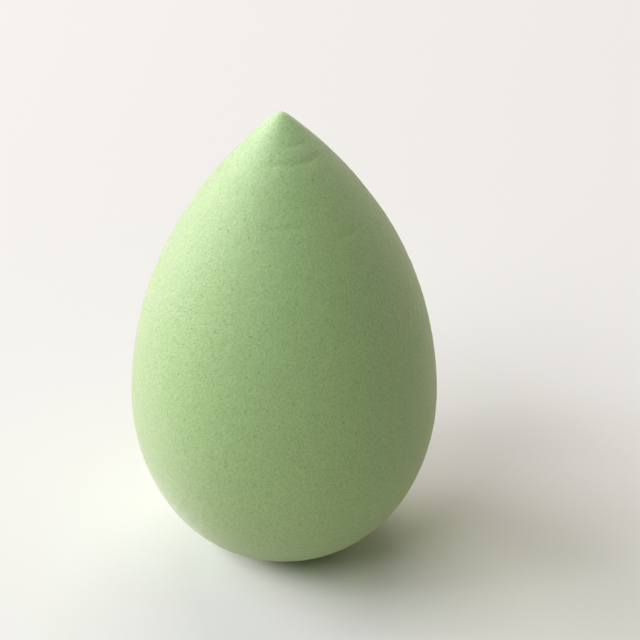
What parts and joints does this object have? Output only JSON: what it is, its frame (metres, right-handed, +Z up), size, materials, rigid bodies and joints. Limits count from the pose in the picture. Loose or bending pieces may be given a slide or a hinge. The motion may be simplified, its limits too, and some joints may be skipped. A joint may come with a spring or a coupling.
{
  "type": "makeup sponge",
  "caption": "Drop-shaped soft foam makeup sponge with a pointed tip and a broad rounded end, for dabbing and blending make-up on skin.",
  "frame": {"origin": "middle of the small flat on the broad end, which the sponge stands on", "axes": "+Z up along the turned axis, from the broad end to the tip; the sponge is round, so X and Y are alike"},
  "size_m": [0.04, 0.04, 0.063],
  "materials": {
    "green_foam": "matte"
  },
  "bodies": {
    "root": {"sponge_body": "green_foam"}
  },
  "joints": []
}
